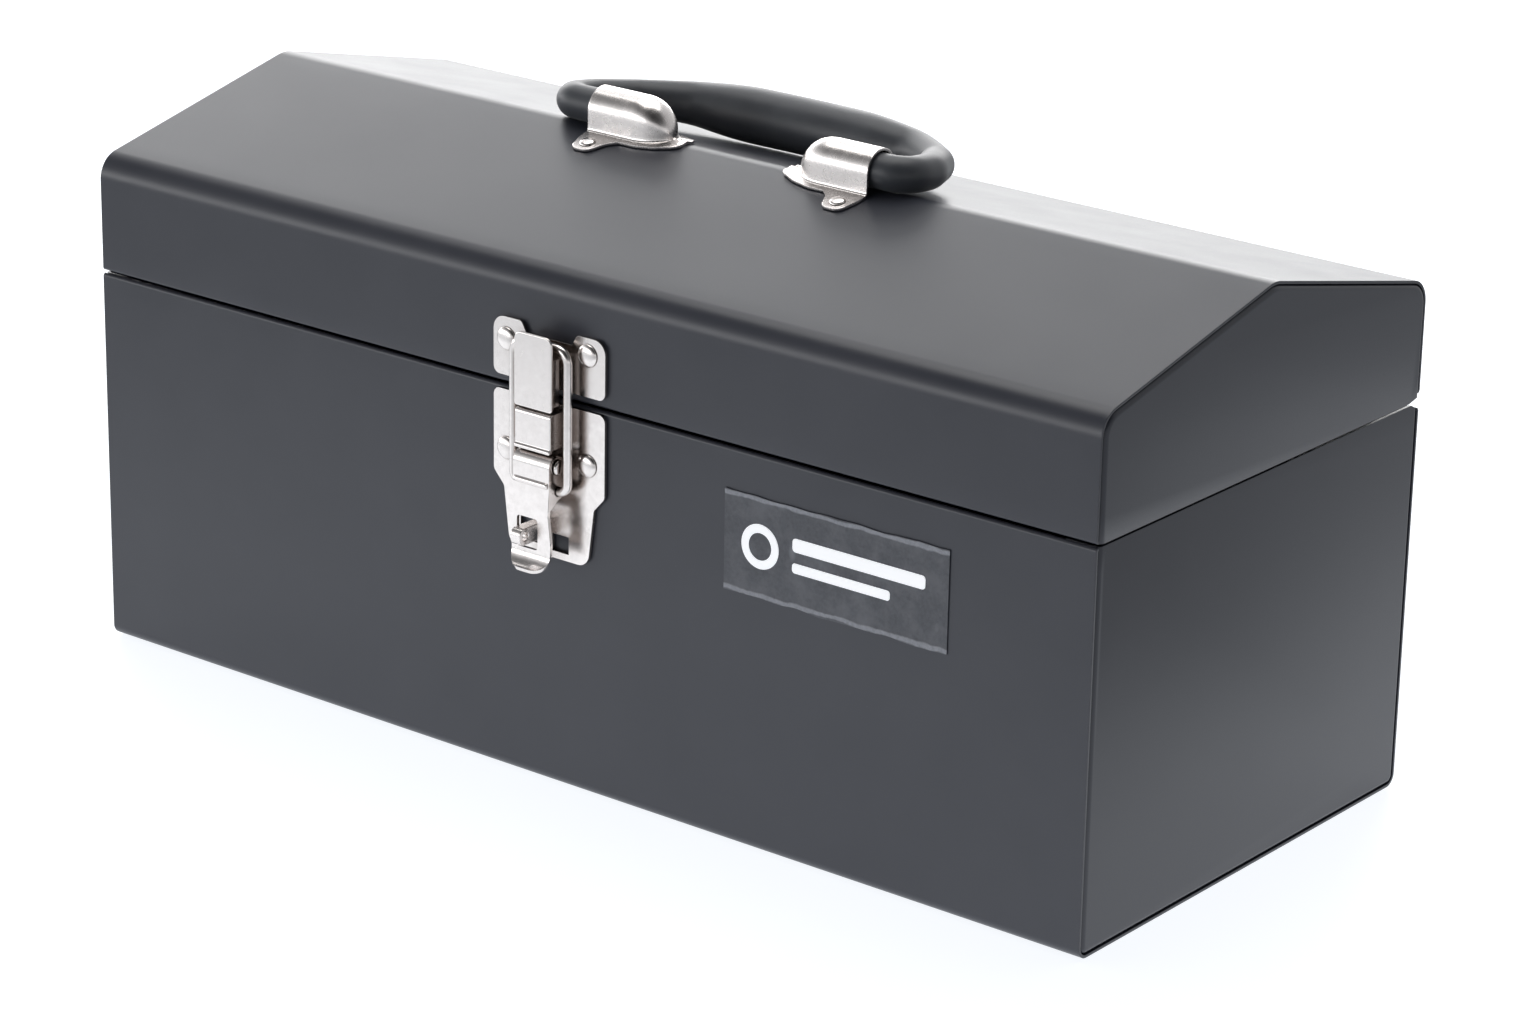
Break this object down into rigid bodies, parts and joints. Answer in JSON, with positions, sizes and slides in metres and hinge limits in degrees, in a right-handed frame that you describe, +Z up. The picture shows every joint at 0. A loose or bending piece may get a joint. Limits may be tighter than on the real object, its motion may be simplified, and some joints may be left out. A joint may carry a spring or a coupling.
{
  "type": "hip-roof hand box",
  "caption": "Rectangular sheet-steel hand box with a gable lid on a rear piano hinge, a front draw latch with padlock loop, and a folding carrying handle on the lid.",
  "frame": {"origin": "middle of the underside, on the plane the box stands on", "axes": "+X along the length, the latch faces -Y, +Z up"},
  "size_m": [0.4072, 0.1931, 0.2037],
  "materials": {
    "painted_steel": "satin black powder coat with a fine texture",
    "nickel_plate": "bright nickel plate on pressed steel",
    "hinge_steel": "rolled steel",
    "handle_rubber": "satin black moulded",
    "label_film": "clear film sticker with a plain white mark"
  },
  "bodies": {
    "body": {"body_wrap": "painted_steel", "body_end_left": "painted_steel", "body_end_right": "painted_steel", "hinge_leaf_body": "hinge_steel", "hinge_pin": "hinge_steel", "latch_base_plate": "nickel_plate", "base_rivet_left": "nickel_plate", "base_rivet_right": "nickel_plate", "lever_pin": "hinge_steel", "label_film": "label_film"},
    "lid": {"lid_wrap": "painted_steel", "lid_end_left": "painted_steel", "lid_end_right": "painted_steel", "hinge_leaf_lid": "hinge_steel", "strike_plate": "nickel_plate", "strike_rivet_left": "nickel_plate", "strike_rivet_right": "nickel_plate", "handle_bracket_left": "nickel_plate", "handle_bracket_right": "nickel_plate", "bracket_rivet_left_front": "nickel_plate", "bracket_rivet_left_rear": "nickel_plate", "bracket_rivet_right_front": "nickel_plate", "bracket_rivet_right_rear": "nickel_plate"},
    "latch_lever": {"latch_lever": "nickel_plate"},
    "latch_bail": {"latch_bail": "nickel_plate"},
    "handle": {"handle_grip": "handle_rubber"}
  },
  "joints": [
    {"name": "lid_hinge", "type": "hinge", "parent": "body", "child": "lid", "pos_m": [0, 0.08705, 0.131], "axis": [-1, 0, 0], "range_deg": [0, 105]},
    {"name": "lever_swing", "type": "hinge", "parent": "body", "child": "latch_lever", "pos_m": [-0.0036, -0.0945, 0.1106], "axis": [-1, 0, 0], "range_deg": [0, 90]},
    {"name": "bail_swing", "type": "hinge", "parent": "latch_lever", "child": "latch_bail", "pos_m": [-0.0036, -0.0942, 0.1026], "axis": [-1, 0, 0], "range_deg": [-78, 0]},
    {"name": "handle_swing", "type": "hinge", "parent": "lid", "child": "handle", "pos_m": [0, 0, 0.1964], "axis": [1, 0, 0], "range_deg": [0, 194]}
  ],
  "couplings": [
    {"joint": "bail_swing", "follows": "lever_swing", "ratio": -0.86}
  ]
}
